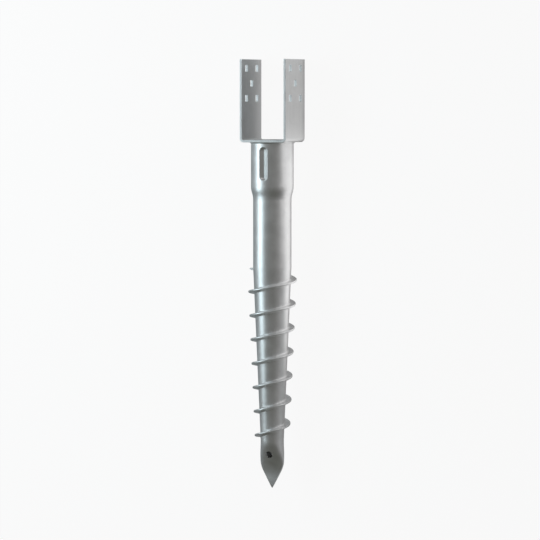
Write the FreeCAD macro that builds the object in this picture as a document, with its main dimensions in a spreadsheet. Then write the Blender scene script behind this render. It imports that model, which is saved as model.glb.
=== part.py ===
import FreeCAD, Part
import math
import os
import Sketcher

# A helical pile for a square timber post: a steel tube with a long taper and a
# pinched point, a spiral flight welded round the taper, and a folded U bracket
# welded on top.
#
# The pile is modelled upright, with the tip of its point at the origin, its
# axis along +Z and the bracket open along Y. It can't stand by itself, so each
# finished piece is then laid on its back, where the pile comes to rest.

# Driving dimensions in millimetres and degrees

SIZES = {
    # Folded bracket that holds the post
    "bracket_height": 166.0,
    "bracket_depth": 91.0,
    "post_gap": 91.5,
    "plate_thickness": 5.0,
    "bend_radius": 3.0,
    "screw_hole_width": 12.0,
    "screw_hole_height": 13.0,
    "screw_hole_drop": 18.0,
    "screw_row_pitch": 30.0,
    "screw_column_spacing": 48.0,
    "bracket_edge_round": 0.6,
    # Tube, from the bracket down to the point
    "head_diameter": 85.9,
    "head_length": 89.0,
    "neck_length": 26.0,
    "shaft_diameter": 77.2,
    "shaft_length": 136.0,
    "taper_length": 351.0,
    "taper_end_diameter": 46.9,
    "tube_wall": 3.0,
    # Grooves pressed into the front and back of the head
    "groove_drop": 9.5,
    "groove_height": 66.5,
    "groove_width": 20.6,
    "groove_depth": 5.4,
    "groove_floor_width": 1.6,
    "groove_floor_height": 57.5,
    "groove_edge_round": 1.2,
    # Point, pinched flat and cut to a spade
    "point_length": 97.0,
    "point_width": 51.8,
    "point_edge": 1.5,
    "point_tip_width": 0.8,
    "point_pinch_thickness": 6.4,
    "point_half_angle": 28.7,
    "point_shoulder_radius": 66.0,
    "point_wall": 6.0,
    "drain_diameter": 14.0,
    "drain_height": 69.0,
    # Spiral flight round the taper
    "flight_pitch": 48.5,
    "flight_turns": 7.0,
    "flight_start": 103.6,
    "flight_width": 11.9,
    "flight_thickness": 4.0,
    "flight_edge_round": 1.5,
    # Fillet welds
    "flight_weld_leg": 2.9,
    "bracket_weld_leg": 2.5,
}

# How far a hidden face is carried into its neighbour before it is trimmed there
OVERRUN = 1.5

# How far a cutter reaches past the face that it cuts
CUTTER_MARGIN = 5.0

# How far a backing starts below the outside of the tube
BACKING_INSET = 0.3

# How far the flat sides of the point are cut clear of its full width
SIDE_CLEARANCE = 0.3

# Shares of the point's length, from its top down to its tip
POINT_SHARES = (1.0, 0.92, 0.82, 0.72, 0.6, 0.48, 0.36, 0.2, 0.0)
BORE_SHARES = (1.0, 0.9, 0.75, 0.6, 0.5, 0.42)

# Share of the point's length over which it widens to its full width
WIDENING_SHARE = 0.36

# Share of the point's length that is pinched flat
PINCH_SHARE = 0.32

# How near an edge lies to a face to count as one of its rims
RIM_TOLERANCE = 0.05

# Radius of a bead's hollow face for each unit of its leg
WELD_HOLLOW = 2.0

# Places of the screw holes in a leg: columns from the middle, rows from the top
SCREW_HOLES = ((-0.5, 0), (0.5, 0), (0.0, 1), (-0.5, 2), (0.5, 2))


class Size:
    """A size as a number, and as the text that binds it to the sheet."""

    def __init__(self, value, text):
        self.value = value
        self.text = text

    def __add__(self, other):
        other = as_size(other)
        return Size(self.value + other.value, f"({self.text} + {other.text})")

    def __radd__(self, other):
        return as_size(other) + self

    def __sub__(self, other):
        other = as_size(other)
        return Size(self.value - other.value, f"({self.text} - {other.text})")

    def __rsub__(self, other):
        return as_size(other) - self

    def __mul__(self, other):
        other = as_size(other)
        return Size(self.value * other.value, f"({self.text} * {other.text})")

    def __rmul__(self, other):
        return as_size(other) * self

    def __truediv__(self, other):
        other = as_size(other)
        return Size(self.value / other.value, f"({self.text} / {other.text})")

    def __neg__(self):
        return Size(-self.value, f"(0 - {self.text})")


def as_size(quantity):
    """A plain number as a size. A size stays as it is."""
    if isinstance(quantity, Size):
        return quantity
    return Size(float(quantity), f"{float(quantity):.9f}")


def root(size):
    return Size(math.sqrt(size.value), f"sqrt({size.text})")


def tangent(angle):
    return Size(math.tan(math.radians(angle.value)), f"tan({angle.text} * 1 deg)")


def sine(angle):
    return Size(math.sin(math.radians(angle.value)), f"sin({angle.text} * 1 deg)")


def cosine(angle):
    return Size(math.cos(math.radians(angle.value)), f"cos({angle.text} * 1 deg)")


def arc_tangent(ratio):
    """The angle in degrees whose tangent is the ratio."""
    return Size(math.degrees(math.atan(ratio.value)), f"(atan({ratio.text}) / 1 deg)")


def smaller(first, second):
    return Size(min(first.value, second.value), f"min({first.text}; {second.text})")


def make_sheet(doc):
    """Write every driving dimension to the sheet, with its name as alias."""
    sheet = doc.addObject("Spreadsheet::Sheet", "Sizes")
    for row, (name, value) in enumerate(SIZES.items(), start=1):
        sheet.set(f"A{row}", name)
        sheet.set(f"B{row}", str(value))
        sheet.setAlias(f"B{row}", name)
    doc.recompute()
    return sheet


def size(name):
    return Size(SIZES[name], f"Sizes.{name}")


def bind(thing, path, quantity):
    thing.setExpression(path, as_size(quantity).text)


# Heights along the upright pile, from the tip up

taper_foot = size("point_length")
shaft_foot = taper_foot + size("taper_length")
neck_foot = shaft_foot + size("shaft_length")
head_foot = neck_foot + size("neck_length")
plate_foot = head_foot + size("head_length")
plate_top = plate_foot + size("plate_thickness")
pile_top = plate_foot + size("bracket_height")

# Radii of the tube's outside

head_radius = size("head_diameter") / 2
shaft_radius = size("shaft_diameter") / 2
taper_end_radius = size("taper_end_diameter") / 2
taper_slope = (shaft_radius - taper_end_radius) / size("taper_length")

leg_outside = size("post_gap") / 2 + size("plate_thickness")


def taper_radius(height):
    """Outer radius of the taper at a height above the tip."""
    return taper_end_radius + taper_slope * (height - taper_foot)


# Sketches


def origin_plane(body, role):
    for feature in body.Origin.OriginFeatures:
        if feature.Role == role:
            return feature
    raise ValueError("no origin plane " + role)


def body_sketch(body, name, role):
    sketch = body.newObject("Sketcher::SketchObject", name)
    sketch.AttachmentSupport = [(origin_plane(body, role), "")]
    sketch.MapMode = "FlatFace"
    return sketch


def add_named(sketch, constraint, name, quantity):
    """Add a constraint, give it a name and bind its value to the sheet."""
    index = sketch.addConstraint(constraint)
    sketch.renameConstraint(index, name)
    bind(sketch, "Constraints." + name, quantity)


def pin_point(sketch, edge, vertex, place, name):
    """Fix a point of an edge at a place measured from the sketch's origin."""
    across, up = as_size(place[0]), as_size(place[1])
    if across.value == 0:
        sketch.addConstraint(Sketcher.Constraint("PointOnObject", edge, vertex, -2))
    else:
        fixed = Sketcher.Constraint("DistanceX", -1, 1, edge, vertex, across.value)
        add_named(sketch, fixed, name + "_across", across)
    if up.value == 0:
        sketch.addConstraint(Sketcher.Constraint("PointOnObject", edge, vertex, -1))
    else:
        fixed = Sketcher.Constraint("DistanceY", -1, 1, edge, vertex, up.value)
        add_named(sketch, fixed, name + "_up", up)


def arc_between(start, end, radius, turn):
    """The short arc from start to end that turns left (1) or right (-1)."""
    chord = end.sub(start)
    middle = start.add(end).multiply(0.5)
    reach = math.sqrt(max(radius ** 2 - (chord.Length / 2) ** 2, 0.0))
    normal = FreeCAD.Vector(-chord.y, chord.x, 0).normalize()
    centre = middle.add(normal.multiply(reach * turn))
    first, last = (start, end) if turn > 0 else (end, start)
    angles = [math.atan2(point.y - centre.y, point.x - centre.x) for point in (first, last)]
    if angles[1] < angles[0]:
        angles[1] += 2 * math.pi
    circle = Part.Circle(centre, FreeCAD.Vector(0, 0, 1), radius)
    return Part.ArcOfCircle(circle, angles[0], angles[1])


def draw_outline(sketch, name, corners):
    """Draw a closed outline through the corners, each fixed in its place.

    A corner is (across, up), reached by a straight edge, or
    (across, up, radius, turn), reached by an arc that turns left or right.
    """
    points = [FreeCAD.Vector(as_size(c[0]).value, as_size(c[1]).value, 0) for c in corners]
    edges = []
    for index, corner in enumerate(corners):
        start, end = points[index - 1], points[index]
        if len(corner) == 2:
            edge = sketch.addGeometry(Part.LineSegment(start, end), False)
            edges.append((edge, 1, 2))
        else:
            radius, turn = as_size(corner[2]), corner[3]
            edge = sketch.addGeometry(arc_between(start, end, radius.value, turn), False)
            edges.append((edge, 1, 2) if turn > 0 else (edge, 2, 1))
    for index, (edge, start_vertex, _) in enumerate(edges):
        before, _, before_end = edges[index - 1]
        joined = Sketcher.Constraint("Coincident", before, before_end, edge, start_vertex)
        sketch.addConstraint(joined)
    for index, corner in enumerate(corners):
        edge, _, end_vertex = edges[index]
        pin_point(sketch, edge, end_vertex, corner, f"{name}{index}")
        if len(corner) > 2:
            radius = as_size(corner[2])
            fixed = Sketcher.Constraint("Radius", edge, radius.value)
            add_named(sketch, fixed, f"{name}{index}_radius", radius)


def new_body(doc, name):
    return doc.addObject("PartDesign::Body", name)


def add_revolution(body, sketch):
    turned = body.newObject("PartDesign::Revolution", sketch.Name + "_turned")
    turned.Profile = sketch
    turned.ReferenceAxis = (sketch, ["V_Axis"])
    turned.Angle = 360
    return turned


def add_operation(doc, kind, name, base, tool):
    result = doc.addObject(kind, name)
    result.Base = base
    result.Tool = tool
    result.Refine = False
    return result


def join_all(doc, name, pieces):
    joined = doc.addObject("Part::MultiFuse", name)
    joined.Shapes = pieces
    joined.Refine = False
    return joined


def loft_through(doc, name, sections, ruled):
    loft = doc.addObject("Part::Loft", name)
    loft.Sections = sections
    loft.Solid = True
    loft.Ruled = ruled
    return loft


# Tube


def tube_outside():
    """Outside of the tube from the taper's foot up, with the swaged neck."""
    step = head_radius - shaft_radius
    neck_length = size("neck_length")
    neck_radius = (neck_length * neck_length + step * step) / (4 * step)
    return [
        (taper_end_radius, taper_foot),
        (shaft_radius, shaft_foot),
        (shaft_radius, neck_foot),
        (shaft_radius + step / 2, neck_foot + neck_length / 2, neck_radius, -1),
        (head_radius, head_foot, neck_radius, 1),
        (head_radius, plate_foot),
    ]


def make_tube_core(doc):
    """The tube's outside as a full solid, which trims what is welded to it."""
    body = new_body(doc, "tube_core")
    sketch = body_sketch(body, "core_outline", "XZ_Plane")
    corners = [(0, plate_foot), (0, taper_foot)] + tube_outside()
    draw_outline(sketch, "core", corners)
    add_revolution(body, sketch)
    return body


def make_tube_wall(doc):
    """The round part of the tube, with its wall."""
    body = new_body(doc, "tube_wall_body")
    sketch = body_sketch(body, "wall_outline", "XZ_Plane")
    wall = size("tube_wall")
    outside = tube_outside()
    inside = []
    for index in range(len(outside) - 1, -1, -1):
        radius, height = outside[index][:2]
        after = outside[(index + 1) % len(outside)]
        arc = (after[2], -after[3]) if len(after) > 2 else ()
        inside.append((radius - wall, height) + arc)
    draw_outline(sketch, "wall", outside + inside)
    add_revolution(body, sketch)
    return body


def obround(doc, name, width, height, across_depth, centre_height):
    """An upright obround on a plane that faces -Y, at a depth along Y."""
    sketch = doc.addObject("Sketcher::SketchObject", name)
    upright = FreeCAD.Rotation(FreeCAD.Vector(1, 0, 0), 90)
    place = FreeCAD.Vector(0, across_depth.value, centre_height.value)
    sketch.Placement = FreeCAD.Placement(place, upright)
    bind(sketch, "Placement.Base.y", across_depth)
    bind(sketch, "Placement.Base.z", centre_height)
    radius, reach = width / 2, (height - width) / 2
    up = FreeCAD.Vector(0, reach.value, 0)
    side = FreeCAD.Vector(radius.value, 0, 0)
    normal = FreeCAD.Vector(0, 0, 1)
    shapes = [
        Part.ArcOfCircle(Part.Circle(up, normal, radius.value), 0, math.pi),
        Part.LineSegment(up.sub(side), up.negative().sub(side)),
        Part.ArcOfCircle(Part.Circle(up.negative(), normal, radius.value), math.pi, 2 * math.pi),
        Part.LineSegment(up.negative().add(side), up.add(side)),
    ]
    edges = [sketch.addGeometry(shape, False) for shape in shapes]
    for index, edge in enumerate(edges):
        after = edges[(index + 1) % len(edges)]
        sketch.addConstraint(Sketcher.Constraint("Tangent", edge, 2, after, 1))
    top, _, bottom, _ = edges
    sketch.addConstraint(Sketcher.Constraint("PointOnObject", top, 3, -2))
    sketch.addConstraint(Sketcher.Constraint("PointOnObject", bottom, 3, -2))
    above = Sketcher.Constraint("DistanceY", -1, 1, top, 3, reach.value)
    add_named(sketch, above, "reach_above", reach)
    below = Sketcher.Constraint("DistanceY", bottom, 3, -1, 1, reach.value)
    add_named(sketch, below, "reach_below", reach)
    add_named(sketch, Sketcher.Constraint("Radius", top, radius.value), "end_radius", radius)
    return sketch


def groove_section(doc, name, side, distance, rise, border):
    """An obround as large as the groove is at a rise above its floor."""
    depth = size("groove_depth")
    centre_height = plate_foot - size("groove_drop") - size("groove_height") / 2
    widening = (size("groove_width") - size("groove_floor_width")) / depth
    heightening = (size("groove_height") - size("groove_floor_height")) / depth
    width = size("groove_floor_width") + widening * rise + 2 * as_size(border)
    height = size("groove_floor_height") + heightening * rise + 2 * as_size(border)
    return obround(doc, name, width, height, side * distance, centre_height)


def make_grooves(doc):
    """The backings inside the head, and the cutters that press the grooves."""
    wall = size("tube_wall")
    floor_distance = head_radius - size("groove_depth")
    half_width = size("groove_width") / 2
    rim_distance = root(head_radius * head_radius - half_width * half_width) - BACKING_INSET
    rim_rise = rim_distance - floor_distance
    backings, cutters = [], []
    for side, word in ((-1, "front"), (1, "back")):
        backing = [
            groove_section(doc, f"{word}_backing_rim", side, rim_distance, rim_rise, wall),
            groove_section(doc, f"{word}_backing_floor", side, floor_distance - wall, 0, wall),
        ]
        backings.append(loft_through(doc, f"{word}_backing", backing, True))
        over_rise = size("groove_depth") + CUTTER_MARGIN
        cutter = [
            groove_section(doc, f"{word}_cutter_rim", side, head_radius + CUTTER_MARGIN,
                           over_rise, 0),
            groove_section(doc, f"{word}_cutter_floor", side, floor_distance, 0, 0),
        ]
        cutters.append(loft_through(doc, f"{word}_cutter", cutter, True))
    return backings, cutters


def point_flank(share):
    """Half width of the spade outline at a share of the point's length."""
    rise = size("point_length") * share * tangent(size("point_half_angle"))
    return size("point_tip_width") / 2 + rise


def point_half_width(share):
    """Half width of the pinched tube before it is cut to the spade outline."""
    progress = min((1 - share) / WIDENING_SHARE, 1.0)
    eased = progress ** 2 * (3 - 2 * progress)
    return taper_end_radius + (size("point_width") / 2 - taper_end_radius) * eased


def point_half_thickness(share):
    """Half thickness of the point: flat at its tip, round at the taper.

    Above the pinch it is a cubic that meets the pinch and the taper in line.
    """
    edge, pinch = size("point_edge") / 2, size("point_pinch_thickness") / 2
    pinch_slope = (pinch - edge) / PINCH_SHARE
    if share <= PINCH_SHARE:
        return edge + pinch_slope * share
    span = 1 - PINCH_SHARE
    rise = (share - PINCH_SHARE) / span
    at_pinch = (1 + 2 * rise) * (1 - rise) ** 2
    at_taper = rise ** 2 * (3 - 2 * rise)
    from_pinch = span * rise * (1 - rise) ** 2
    from_taper = span * rise ** 2 * (rise - 1)
    height = pinch * at_pinch + taper_end_radius * at_taper
    slope = pinch_slope * from_pinch + taper_slope * size("point_length") * from_taper
    return height + slope


def ellipse_at(doc, name, share, half_width, half_thickness):
    ellipse = doc.addObject("Part::Ellipse", name)
    ellipse.MajorRadius = half_width.value
    ellipse.MinorRadius = half_thickness.value
    bind(ellipse, "MajorRadius", half_width)
    bind(ellipse, "MinorRadius", half_thickness)
    bind(ellipse, "Placement.Base.z", size("point_length") * share)
    return ellipse


def make_point_outline(doc):
    """The spade outline of the point, wide enough to clear its sides above."""
    body = new_body(doc, "point_outline_body")
    sketch = body_sketch(body, "point_outline", "XZ_Plane")
    half_angle, radius = size("point_half_angle"), size("point_shoulder_radius")
    half_tip = size("point_tip_width") / 2
    side = size("point_width") / 2 + SIDE_CLEARANCE
    corner_height = (side - half_tip) / tangent(half_angle)
    run = radius * tangent(half_angle / 2)
    flank_end = (side - run * sine(half_angle), corner_height - run * cosine(half_angle))
    shoulder_end = (side, corner_height + run, radius, 1)
    top = size("point_length") + CUTTER_MARGIN
    corners = [
        (-half_tip, 0),
        (half_tip, 0),
        flank_end,
        shoulder_end,
        (side, top),
        (-side, top),
        (-side, corner_height + run),
        (-flank_end[0], flank_end[1], radius, 1),
    ]
    draw_outline(sketch, "point", corners)
    pad = body.newObject("PartDesign::Pad", "point_outline_pad")
    pad.Profile = sketch
    pad.SideType = "Symmetric"
    bind(pad, "Length", size("taper_end_diameter") + 2 * CUTTER_MARGIN)
    return body


def make_point(doc):
    """The pinched point: lofted, cut to its outline, hollow above."""
    sections = [
        ellipse_at(doc, f"point_section_{index}", share, point_half_width(share),
                   point_half_thickness(share))
        for index, share in enumerate(POINT_SHARES)
    ]
    outside = loft_through(doc, "point_outside", sections, False)
    outline = make_point_outline(doc)
    solid = add_operation(doc, "Part::Common", "point_solid", outside, outline)
    bore_sections = []
    for index, share in enumerate(BORE_SHARES):
        wall = size("tube_wall")
        side_wall = wall + (size("point_wall") - wall) * (1 - share)
        half_width = smaller(point_half_width(share), point_flank(share)) - side_wall
        half_thickness = point_half_thickness(share) - wall
        bore_sections.append(
            ellipse_at(doc, f"bore_section_{index}", share, half_width, half_thickness))
    bore = loft_through(doc, "point_bore", bore_sections, False)
    return add_operation(doc, "Part::Cut", "point_shell", solid, bore)


def make_drain_cutter(doc):
    cutter = doc.addObject("Part::Cylinder", "drain_cutter")
    reach = size("taper_end_diameter") + 2 * CUTTER_MARGIN
    bind(cutter, "Radius", size("drain_diameter") / 2)
    bind(cutter, "Height", reach)
    cutter.Placement.Rotation = FreeCAD.Rotation(FreeCAD.Vector(1, 0, 0), 90)
    bind(cutter, "Placement.Base.y", reach / 2)
    bind(cutter, "Placement.Base.z", size("drain_height"))
    return cutter


def groove_rims(shape):
    """The edges where the grooves meet the outside of the head."""
    low, high = head_foot.value, plate_foot.value
    rims = []
    for number, edge in enumerate(shape.Edges, start=1):
        box = edge.BoundBox
        if box.ZMin <= low or box.ZMax >= high:
            continue
        middle = edge.valueAt((edge.FirstParameter + edge.LastParameter) / 2)
        if abs(math.hypot(middle.x, middle.y) - head_radius.value) < RIM_TOLERANCE:
            rims.append(number)
    return rims


def make_pile_tube(doc):
    """The whole tube: round wall, neck, pressed grooves and pinched point."""
    wall = make_tube_wall(doc)
    backings, cutters = make_grooves(doc)
    point = make_point(doc)
    uncut = join_all(doc, "tube_uncut", [wall] + backings + [point])
    cutter = join_all(doc, "tube_cutters", cutters + [make_drain_cutter(doc)])
    tube = add_operation(doc, "Part::Cut", "tube_sharp", uncut, cutter)
    doc.recompute()
    rounded = doc.addObject("Part::Fillet", "pile_tube")
    rounded.Base = tube
    rim_radius = size("groove_edge_round").value
    rounded.Edges = [(number, rim_radius, rim_radius) for number in groove_rims(tube.Shape)]
    return rounded


# Flight and its welds


def spiral_sweep(doc, name, corners):
    """Sweep a section, drawn beside the taper at -X, up the spiral."""
    body = new_body(doc, name + "_body")
    sketch = body_sketch(body, name + "_section", "XZ_Plane")
    draw_outline(sketch, "section", corners)
    doc.recompute()
    sweep = body.newObject("PartDesign::AdditiveHelix", name + "_sweep")
    sweep.Profile = sketch
    sweep.ReferenceAxis = (sketch, ["V_Axis"])
    sweep.Mode = "pitch-turns-angle"
    bind(sweep, "Pitch", size("flight_pitch"))
    bind(sweep, "Turns", size("flight_turns"))
    bind(sweep, "Angle", arc_tangent(taper_slope))
    sweep.LeftHanded = False
    return body


def make_flight_blank(doc):
    """The flight before it is trimmed to the taper that it sits on."""
    half = size("flight_thickness") / 2
    low, high = size("flight_start") - half, size("flight_start") + half
    inner = taper_radius(size("flight_start")) - OVERRUN
    outer = taper_radius(size("flight_start")) + size("flight_width")
    edge = size("flight_edge_round")
    corners = [
        (-inner, low),
        (-inner, high),
        (-(outer - edge), high),
        (-outer, high - edge, edge, 1),
        (-outer, low + edge),
        (-(outer - edge), low, edge, 1),
    ]
    return spiral_sweep(doc, "flight_blank", corners)


def make_weld_blank(doc, name, side):
    """A bead above (1) or below (-1) the flight, with a hollow face."""
    leg = size("flight_weld_leg")
    on_flight = size("flight_start") + side * size("flight_thickness") / 2
    on_tube = on_flight + side * leg
    wall = taper_radius(size("flight_start"))
    hollow = leg * WELD_HOLLOW
    return spiral_sweep(doc, name, [
        (-(wall - OVERRUN), on_flight),
        (-(wall + leg), on_flight),
        (-wall, on_tube, hollow, side),
        (-(wall - OVERRUN), on_tube),
    ])


def make_flight_pieces(doc, core):
    """The flight and its two beads, each trimmed to the taper."""
    blank = make_flight_blank(doc)
    pieces = [add_operation(doc, "Part::Cut", "helix_flight", blank, core)]
    for side, word in ((1, "upper"), (-1, "lower")):
        bead = make_weld_blank(doc, f"weld_{word}", side)
        pieces.append(add_operation(doc, "Part::Cut", f"flight_weld_{word}", bead, core))
    return pieces


# Bracket and its weld


def bracket_rims(shape):
    """Names of the folded plate's outer edges, at its ends and on its sides."""
    side, top = size("bracket_depth").value / 2, pile_top.value
    rims = []
    for number, edge in enumerate(shape.Edges, start=1):
        box = edge.BoundBox
        on_side = abs(abs(box.YMin) - side) < RIM_TOLERANCE and box.YLength < RIM_TOLERANCE
        on_top = abs(box.ZMin - top) < RIM_TOLERANCE
        if on_side or on_top:
            rims.append(f"Edge{number}")
    return rims


def make_bracket(doc):
    """The folded bracket: a base and two legs, with screw holes in the legs."""
    body = new_body(doc, "u_bracket")
    sketch = body_sketch(body, "bracket_section", "XZ_Plane")
    outside, inside = leg_outside, size("post_gap") / 2
    inner_bend = size("bend_radius")
    outer_bend = inner_bend + size("plate_thickness")
    draw_outline(sketch, "fold", [
        (-outside, pile_top),
        (-outside, plate_foot + outer_bend),
        (-outside + outer_bend, plate_foot, outer_bend, 1),
        (outside - outer_bend, plate_foot),
        (outside, plate_foot + outer_bend, outer_bend, 1),
        (outside, pile_top),
        (inside, pile_top),
        (inside, plate_top + inner_bend),
        (inside - inner_bend, plate_top, inner_bend, -1),
        (inner_bend - inside, plate_top),
        (-inside, plate_top + inner_bend, inner_bend, -1),
        (-inside, pile_top),
    ])
    pad = body.newObject("PartDesign::Pad", "bracket_fold")
    pad.Profile = sketch
    pad.SideType = "Symmetric"
    bind(pad, "Length", size("bracket_depth"))
    holes = body_sketch(body, "screw_holes", "YZ_Plane")
    half_width, half_height = size("screw_hole_width") / 2, size("screw_hole_height") / 2
    for index, (column, row) in enumerate(SCREW_HOLES):
        across = size("screw_column_spacing") * column
        up = pile_top - size("screw_hole_drop") - size("screw_row_pitch") * row
        draw_outline(holes, f"hole{index}_", [
            (across - half_width, up - half_height),
            (across + half_width, up - half_height),
            (across + half_width, up + half_height),
            (across - half_width, up + half_height),
        ])
    doc.recompute()
    pocket = body.newObject("PartDesign::Pocket", "screw_hole_cuts")
    pocket.Profile = holes
    pocket.SideType = "Symmetric"
    bind(pocket, "Length", 2 * (leg_outside + CUTTER_MARGIN))
    doc.recompute()
    rounded = body.newObject("PartDesign::Fillet", "bracket_edges")
    rounded.Base = (pocket, bracket_rims(pocket.Shape))
    bind(rounded, "Radius", size("bracket_edge_round"))
    body.Tip = rounded
    return body


def make_bracket_weld(doc):
    """The bead round the head of the tube, under the bracket's base."""
    body = new_body(doc, "bracket_weld")
    sketch = body_sketch(body, "bracket_weld_section", "XZ_Plane")
    leg = size("bracket_weld_leg")
    draw_outline(sketch, "bead", [
        (head_radius, plate_foot),
        (head_radius, plate_foot - leg),
        (head_radius + leg, plate_foot, leg * WELD_HOLLOW, 1),
    ])
    add_revolution(body, sketch)
    return body


# Rest position


def lay_down(piece):
    """Lay a piece where it is once the whole pile has come to rest.

    The pile lies on the back corners of the legs and on the last pass of the
    flight behind the tube, a quarter turn before the flight's upper end.
    """
    contact_height = size("flight_start") + size("flight_pitch") * (size("flight_turns") - 0.25)
    flight_reach = taper_radius(contact_height) + size("flight_width")
    half_depth = size("bracket_depth") / 2
    lean = arc_tangent((flight_reach - half_depth) / (pile_top - contact_height))
    rise = pile_top * sine(lean) + half_depth * cosine(lean)
    reach = pile_top * cosine(lean) + half_depth * sine(lean)
    turn = 90 + lean
    backward = FreeCAD.Rotation(FreeCAD.Vector(-1, 0, 0), turn.value)
    place = FreeCAD.Vector(0, -reach.value / 2, rise.value)
    piece.Placement = FreeCAD.Placement(place, backward)
    bind(piece, "Placement.Rotation.Angle", turn)
    bind(piece, "Placement.Base.y", -reach / 2)
    bind(piece, "Placement.Base.z", rise)


def check_document(doc):
    """Stop if any object failed to build."""
    for thing in doc.Objects:
        if "Invalid" in thing.State or "Error" in thing.State:
            raise RuntimeError(f"{thing.Name} failed: {thing.State}")


def check_piece(piece):
    """Stop unless the piece is one sound solid."""
    shape = piece.Shape
    if shape.isNull() or not shape.isValid():
        raise RuntimeError(piece.Label + " has no valid shape")
    if len(shape.Solids) != 1:
        raise RuntimeError(f"{piece.Label} has {len(shape.Solids)} solids")


def main():
    os.makedirs("parts", exist_ok=True)
    doc = FreeCAD.newDocument("helical_pile")
    make_sheet(doc)
    core = make_tube_core(doc)
    pieces = [make_pile_tube(doc), make_bracket(doc), make_bracket_weld(doc)]
    pieces += make_flight_pieces(doc, core)
    doc.recompute()
    for piece in pieces:
        piece.Label = piece.Name
        lay_down(piece)
    doc.recompute()
    check_document(doc)
    for piece in pieces:
        check_piece(piece)
        piece.Shape.exportStep(os.path.join("parts", piece.Label + ".step"))


main()
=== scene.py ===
import bpy
import math
from mathutils import Matrix, Vector

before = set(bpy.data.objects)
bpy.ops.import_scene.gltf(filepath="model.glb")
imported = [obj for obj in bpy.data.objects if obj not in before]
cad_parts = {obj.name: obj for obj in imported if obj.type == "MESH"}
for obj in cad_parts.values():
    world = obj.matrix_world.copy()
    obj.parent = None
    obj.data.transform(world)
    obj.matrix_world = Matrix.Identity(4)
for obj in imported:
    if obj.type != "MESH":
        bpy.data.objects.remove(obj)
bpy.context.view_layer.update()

# The pile as it lies. The sizes are those of the upright pile in the part's source,
# in millimetres, and lay it on its back as the source does.

PILE_TOP = 865.0
BRACKET_DEPTH = 91.0
POINT_LENGTH = 97.0
TAPER_LENGTH = 351.0
TAPER_END_RADIUS = 23.45
SHAFT_RADIUS = 38.6
FLIGHT_START = 103.6
FLIGHT_PITCH = 48.5
FLIGHT_TURNS = 7.0
FLIGHT_WIDTH = 11.9

# The last quarter turn of the flight rises off the floor again
TURN_PAST_CONTACT = 0.25
CONTACT_HEIGHT = FLIGHT_START + FLIGHT_PITCH * (FLIGHT_TURNS - TURN_PAST_CONTACT)
TAPER_SLOPE = (SHAFT_RADIUS - TAPER_END_RADIUS) / TAPER_LENGTH
CONTACT_RADIUS = TAPER_END_RADIUS + (CONTACT_HEIGHT - POINT_LENGTH) * TAPER_SLOPE
CONTACT_REACH = CONTACT_RADIUS + FLIGHT_WIDTH

# It rests on that turn and on the bracket's rear edges
HALF_DEPTH = BRACKET_DEPTH / 2
LEAN = math.atan((CONTACT_REACH - HALF_DEPTH) / (PILE_TOP - CONTACT_HEIGHT))
RISE = PILE_TOP * math.sin(LEAN) + HALF_DEPTH * math.cos(LEAN)
REACH = PILE_TOP * math.cos(LEAN) + HALF_DEPTH * math.sin(LEAN)
MILLIMETRES_PER_METRE = 1000


def lying_direction(x, y, z):
    """A direction of the upright pile, in the frame of the lying one."""
    s, c = math.sin(LEAN), math.cos(LEAN)
    return Vector((x, -y * s + z * c, -y * c - z * s))


def lying_point(x, y, z):
    """A point of the upright pile in millimetres, in metres where it lies."""
    moved = lying_direction(x, y, z) + Vector((0, -REACH / 2, RISE))
    return moved / MILLIMETRES_PER_METRE


# Camera. Its distance and height are in millimetres round the upright pile, whose
# front it sees from the right. It has no shift, so other views stay centred.

CAMERA_AZIMUTH = math.radians(25.233)
CAMERA_DISTANCE = 5430.2
CAMERA_HEIGHT = 799.5
CAMERA_TILT = math.radians(3.7698)
CAMERA_YAW = math.radians(0.0488)
CAMERA_LENS = 180.089
CAMERA_SENSOR = 36.0
CAMERA_CLIP = (0.1, 50.0)


def turned(first, second, angle):
    """Two axes of a basis, both turned by an angle in their own plane."""
    s, c = math.sin(angle), math.cos(angle)
    return first * c - second * s, second * c + first * s


def make_camera():
    """The camera, aimed by a yaw and a tilt from level beside the upright pile."""
    data = bpy.data.cameras.new("camera")
    camera = bpy.data.objects.new("camera", data)
    bpy.context.scene.collection.objects.link(camera)
    s, c = math.sin(CAMERA_AZIMUTH), math.cos(CAMERA_AZIMUTH)
    place = lying_point(CAMERA_DISTANCE * s, -CAMERA_DISTANCE * c, CAMERA_HEIGHT)
    right = lying_direction(c, s, 0)
    up = lying_direction(0, 0, 1)
    back = lying_direction(s, -c, 0)
    right, back = turned(right, back, CAMERA_YAW)
    up, back = turned(up, back, CAMERA_TILT)
    basis = Matrix((right, up, back)).transposed().to_4x4()
    camera.matrix_world = Matrix.Translation(place) @ basis
    data.lens = CAMERA_LENS
    data.sensor_width = CAMERA_SENSOR
    data.clip_start, data.clip_end = CAMERA_CLIP
    bpy.context.scene.camera = camera


# Shader helpers. Where a helper takes a value, that is a socket or a plain number
# or colour.


def grey(level):
    return (level, level, level, 1)


def feed(tree, value, target):
    """Links a socket into the target, or writes a plain value there."""
    if isinstance(value, bpy.types.NodeSocket):
        tree.links.new(value, target)
    else:
        target.default_value = value


def calculated(tree, operation, first, second=0.0):
    """The result of a Math node."""
    node = tree.nodes.new("ShaderNodeMath")
    node.operation = operation
    feed(tree, first, node.inputs[0])
    feed(tree, second, node.inputs[1])
    return node.outputs[0]


def value_between(tree, source, low, high):
    """A value from 0 to 1 laid over the range from low to high."""
    spread = tree.nodes.new("ShaderNodeMapRange")
    spread.inputs["To Min"].default_value = low
    spread.inputs["To Max"].default_value = high
    tree.links.new(source, spread.inputs["Value"])
    return spread.outputs[0]


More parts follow.
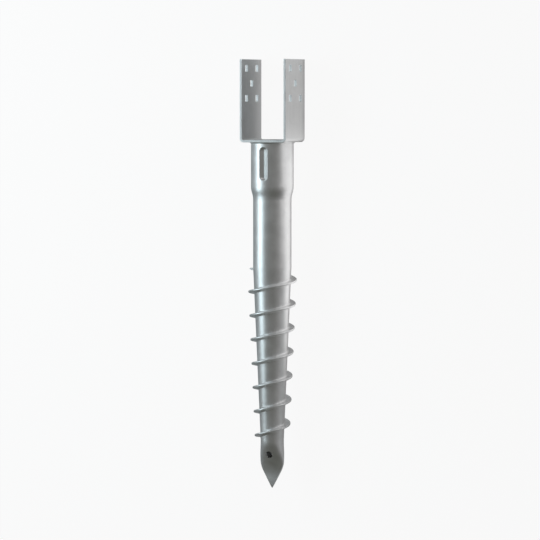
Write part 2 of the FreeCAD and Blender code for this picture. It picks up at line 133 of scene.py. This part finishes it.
def smooth_step(tree, source, edge, levels=(0.0, 1.0)):
    """A value that goes from one level to the other over the edge of a source."""
    step = tree.nodes.new("ShaderNodeMapRange")
    step.interpolation_type = "SMOOTHSTEP"
    step.inputs["From Min"].default_value, step.inputs["From Max"].default_value = edge
    step.inputs["To Min"].default_value, step.inputs["To Max"].default_value = levels
    tree.links.new(source, step.inputs["Value"])
    return step.outputs[0]


def mixed_value(tree, share, first, second):
    """A value that goes from the first to the second with a share from 0 to 1."""
    mix = tree.nodes.new("ShaderNodeMix")
    feed(tree, share, mix.inputs[0])
    feed(tree, first, mix.inputs[2])
    feed(tree, second, mix.inputs[3])
    return mix.outputs[0]


def mixed_colour(tree, share, first, second):
    """A colour that goes from the first to the second with a share from 0 to 1."""
    mix = tree.nodes.new("ShaderNodeMix")
    mix.data_type = "RGBA"
    feed(tree, share, mix.inputs[0])
    feed(tree, first, mix.inputs[6])
    feed(tree, second, mix.inputs[7])
    return mix.outputs[2]


def coordinates(tree, space):
    """The X, Y and Z sockets of a coordinate space."""
    place = tree.nodes.new("ShaderNodeTexCoord")
    split = tree.nodes.new("ShaderNodeSeparateXYZ")
    tree.links.new(place.outputs[space], split.inputs[0])
    return split.outputs


# Lights. A softbox has its place and aim in metres, its width and height in metres,
# its power in watts and its colour.

COOL = (0.77, 0.935, 1.0)
WHITE = (1, 1, 1)
SOFTBOXES = {
    "left_softbox": ((-1.10, 0.49, 0.98), (0, 0.34, 0.05), (1.75, 0.62), 9.8, COOL),
    "right_softbox": ((1.9, 0.95, 0.19), (0, 0.78, 0.05), (1.5, 0.34), 3.6, WHITE),
    "head_softbox": ((1.3, 2.3, 1.1), (0, 0, 0), (1.3, 1.1), 4.5, WHITE),
}

# World. X and Y are those of the direction looked in, so 1 is straight to the right
# or past the head. It brightens from the point's end to the head's, and from
# overhead to the horizon at both sides.

SKY_ALONG = (-0.45, 0.25)
SKY_ACROSS = (0.62, 1.02)
CEILING_BY_POINT = (0.094, 0.096, 0.084, 1)
CEILING_BY_HEAD = (0.208, 0.208, 0.206, 1)
WALLS_BY_POINT = 0.12
WALLS_BY_HEAD = 0.38


def area_light(name, place, aim, size, power, colour):
    data = bpy.data.lights.new(name, "AREA")
    data.shape = "RECTANGLE"
    data.size, data.size_y = size
    data.energy = power
    data.color = colour
    light = bpy.data.objects.new(name, data)
    bpy.context.scene.collection.objects.link(light)
    place, aim = Vector(place), Vector(aim)
    light.location = place
    light.rotation_mode = "QUATERNION"
    light.rotation_quaternion = (aim - place).to_track_quat("-Z", "Y")


def make_world():
    """A dim studio, brighter past the head and to both sides."""
    world = bpy.data.worlds.new("studio")
    bpy.context.scene.world = world
    world.use_nodes = True
    tree = world.node_tree
    direction = coordinates(tree, "Generated")
    along = smooth_step(tree, direction["Y"], SKY_ALONG)
    sideways = calculated(tree, "ABSOLUTE", direction["X"])
    across = smooth_step(tree, sideways, SKY_ACROSS)
    ceiling = mixed_colour(tree, along, CEILING_BY_POINT, CEILING_BY_HEAD)
    walls = mixed_colour(tree, along, grey(WALLS_BY_POINT), grey(WALLS_BY_HEAD))
    sky = mixed_colour(tree, across, ceiling, walls)
    tree.links.new(sky, tree.nodes["Background"].inputs["Color"])


def make_lights():
    """A cool softbox on the left, and white ones on the right and past the head."""
    for name, values in SOFTBOXES.items():
        area_light(name, *values)
    make_world()


# Floor. The light falls on grey paper. The camera sees it nearly white, with a faint
# shadow. Reflections see grey paper too, mixed with white glow in the patches below,
# a painted reflection of light and shade tuned to the bands that the photographed
# metal has.

FLOOR_REACH = 12.0
FLOOR_DROP = 0.0002
PAPER_ALBEDO = 0.52
PAPER_ALBEDO_SEEN = 0.95
WHITE_SEEN = 0.92

# The painted pool of light right of the pile, white glow seen only in reflections,
# by X, then by X less Y, painted dimmer beside the legs
PAINTED_POOL_EDGE = (0.042, 0.062)
PAINTED_POOL_END = (0.42, 0.12)
LEGS_EDGE = (0.20, 0.32)
LEGS_LEVELS = (1.0, 0.45)

# The faint painted reflection of light under the pile, by X
PAINTED_UNDER_EDGE = (-0.09, -0.02)
PAINTED_UNDER_LEVELS = (0.0, 0.2)

# Under the bracket that patch is lifted on the left and darkened on the right: painted
# light and painted shade, seen in reflections on the bracket's left leg
PAINTED_BRACKET_EDGE = (0.22, 0.28)
PAINTED_BRACKET_MIDDLE = (-0.045, -0.01)
PAINTED_BRACKET_LEVELS = (0.17, -0.14)


def painted_reflection_share(tree):
    """The share of white glow that reflections see, by place on the floor: a painted
    reflection of light and shade.
    """
    floor = coordinates(tree, "Object")
    x, y = floor["X"], floor["Y"]
    # Painted pool of light: white glow that only reflections see
    near = smooth_step(tree, x, PAINTED_POOL_EDGE)
    far = smooth_step(tree, calculated(tree, "SUBTRACT", x, y), PAINTED_POOL_END)
    legs = smooth_step(tree, y, LEGS_EDGE, LEGS_LEVELS)
    painted_pool = calculated(tree, "MULTIPLY", calculated(tree, "MULTIPLY", near, far), legs)
    # Painted reflection: faint white glow under the pile
    painted_under = smooth_step(tree, x, PAINTED_UNDER_EDGE, PAINTED_UNDER_LEVELS)
    # Painted light and painted shade under the bracket, seen only in reflections
    bracket = smooth_step(tree, y, PAINTED_BRACKET_EDGE)
    painted_bracket_light_and_shade = smooth_step(tree, x, PAINTED_BRACKET_MIDDLE, PAINTED_BRACKET_LEVELS)
    painted_light_and_shade = calculated(
        tree, "ADD", painted_under, calculated(tree, "MULTIPLY", bracket, painted_bracket_light_and_shade))
    return calculated(tree, "MAXIMUM", painted_pool, painted_light_and_shade)


def floor_paper():
    """Paper mixed with white glow by the kind of ray: plain white for the camera,
    painted reflection patches for reflections.
    """
    material = bpy.data.materials.new("floor_paper")
    material.use_nodes = True
    tree = material.node_tree
    tree.nodes.clear()
    ray = tree.nodes.new("ShaderNodeLightPath").outputs
    paper = tree.nodes.new("ShaderNodeBsdfDiffuse")
    albedo = mixed_colour(
        tree, ray["Is Camera Ray"], grey(PAPER_ALBEDO), grey(PAPER_ALBEDO_SEEN))
    tree.links.new(albedo, paper.inputs["Color"])
    glow = tree.nodes.new("ShaderNodeEmission")
    glow.inputs["Color"].default_value = grey(1)
    glow.inputs["Strength"].default_value = 1.0
    seen = calculated(tree, "MULTIPLY", ray["Is Camera Ray"], WHITE_SEEN)
    # Painted reflection: white glow in patches, seen only by glossy rays
    painted_reflection = calculated(
        tree, "MULTIPLY", painted_reflection_share(tree), ray["Is Glossy Ray"])
    mix = tree.nodes.new("ShaderNodeMixShader")
    tree.links.new(calculated(tree, "ADD", seen, painted_reflection), mix.inputs[0])
    tree.links.new(paper.outputs[0], mix.inputs[1])
    tree.links.new(glow.outputs[0], mix.inputs[2])
    output = tree.nodes.new("ShaderNodeOutputMaterial")
    tree.links.new(mix.outputs[0], output.inputs["Surface"])
    return material


def make_floor():
    """A wide floor just below the object, plain to the camera, with painted reflection
    patches.
    """
    mesh = bpy.data.meshes.new("floor")
    r = FLOOR_REACH
    corners = [(-r, -r, 0), (r, -r, 0), (r, r, 0), (-r, r, 0)]
    mesh.from_pydata(corners, [], [(0, 1, 2, 3)])
    mesh.materials.append(floor_paper())
    floor = bpy.data.objects.new("floor", mesh)
    floor.location.z = -FLOOR_DROP
    bpy.context.scene.collection.objects.link(floor)


# Galvanised steel. Scales are in cells per metre.

CLOUD_SCALE, CLOUD_DETAIL = 40.0, 5.0
GRAIN_SCALE, GRAIN_DETAIL = 1400.0, 3.0
LINE_SCALE, LINE_DETAIL = 900.0, 2.0
LINE_STRETCH = (1.0, 0.012, 1.0)
SPANGLE_SCALE = 100.0
NOISE_EDGE = (0.3, 0.7)

DARK_ZINC, BRIGHT_ZINC = 0.82, 0.93
ROUGHNESS = (0.38, 0.46)
SPANGLE_IN_TONE = 0.35
SPANGLE_IN_WEAR = 0.3
GRAIN_IN_WEAR = 0.25
CLOUD_IN_RELIEF = 0.3
BUMP_STRENGTH = 0.25
BUMP_HEIGHT = 0.00006

# The share of rolling lines in the tube, flight and welds, and in the bracket
LINES_DRAWN = 0.15
LINES_ROLLED = 0.55


def noise(tree, vector, scale, detail):
    """Noise from 0 to 1 with cells of about 1 / scale metres."""
    texture = tree.nodes.new("ShaderNodeTexNoise")
    texture.inputs["Scale"].default_value = scale
    texture.inputs["Detail"].default_value = detail
    tree.links.new(vector, texture.inputs["Vector"])
    return smooth_step(tree, texture.outputs["Fac"], NOISE_EDGE)


def spangle(tree, place):
    """Two random values for each crystal of the zinc."""
    cells = tree.nodes.new("ShaderNodeTexVoronoi")
    cells.inputs["Scale"].default_value = SPANGLE_SCALE
    tree.links.new(place, cells.inputs["Vector"])
    facet = tree.nodes.new("ShaderNodeSeparateColor")
    tree.links.new(cells.outputs["Color"], facet.inputs[0])
    return facet.outputs[0], facet.outputs[1]


def rolling_lines(tree, place):
    """Fine lines along the pile."""
    stretch = tree.nodes.new("ShaderNodeMapping")
    stretch.inputs["Scale"].default_value = LINE_STRETCH
    tree.links.new(place, stretch.inputs["Vector"])
    return noise(tree, stretch.outputs[0], LINE_SCALE, LINE_DETAIL)


def galvanised_steel(name, line_share):
    """Zinc with clouds, faint spangle of about 10 mm, fine grain and lines."""
    material = bpy.data.materials.new(name)
    material.use_nodes = True
    tree = material.node_tree
    shader = tree.nodes["Principled BSDF"]
    shader.inputs["Metallic"].default_value = 1.0
    place = tree.nodes.new("ShaderNodeTexCoord").outputs["Object"]
    cloud = noise(tree, place, CLOUD_SCALE, CLOUD_DETAIL)
    grain = noise(tree, place, GRAIN_SCALE, GRAIN_DETAIL)
    lines = rolling_lines(tree, place)
    spangle_tone, spangle_wear = spangle(tree, place)

    tone = mixed_value(tree, SPANGLE_IN_TONE, cloud, spangle_tone)
    tone = mixed_value(tree, line_share, tone, lines)
    colour = mixed_colour(tree, tone, grey(DARK_ZINC), grey(BRIGHT_ZINC))
    tree.links.new(colour, shader.inputs["Base Color"])

    wear = mixed_value(tree, SPANGLE_IN_WEAR, cloud, spangle_wear)
    wear = mixed_value(tree, GRAIN_IN_WEAR, wear, grain)
    tree.links.new(value_between(tree, wear, *ROUGHNESS), shader.inputs["Roughness"])

    relief = mixed_value(tree, CLOUD_IN_RELIEF, grain, cloud)
    relief = mixed_value(tree, line_share, relief, lines)
    bump = tree.nodes.new("ShaderNodeBump")
    bump.inputs["Strength"].default_value = BUMP_STRENGTH
    bump.inputs["Distance"].default_value = BUMP_HEIGHT
    tree.links.new(relief, bump.inputs["Height"])
    tree.links.new(bump.outputs[0], shader.inputs["Normal"])
    return material


# Edges that turn by more than this stay sharp
SHARP_ANGLE = math.radians(25)


def dress(node, material):
    """Gives a CAD piece its material and smooth shading."""
    node.data.materials.clear()
    node.data.materials.append(material)
    for polygon in node.data.polygons:
        polygon.use_smooth = True
    node.data.set_sharp_from_angle(angle=SHARP_ANGLE)


def main():
    bpy.context.scene.view_settings.view_transform = "Standard"
    make_camera()
    make_lights()
    make_floor()
    drawn = galvanised_steel("galvanised_steel", LINES_DRAWN)
    rolled = galvanised_steel("galvanised_plate", LINES_ROLLED)
    for name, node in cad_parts.items():
        dress(node, rolled if name == "u_bracket" else drawn)


main()
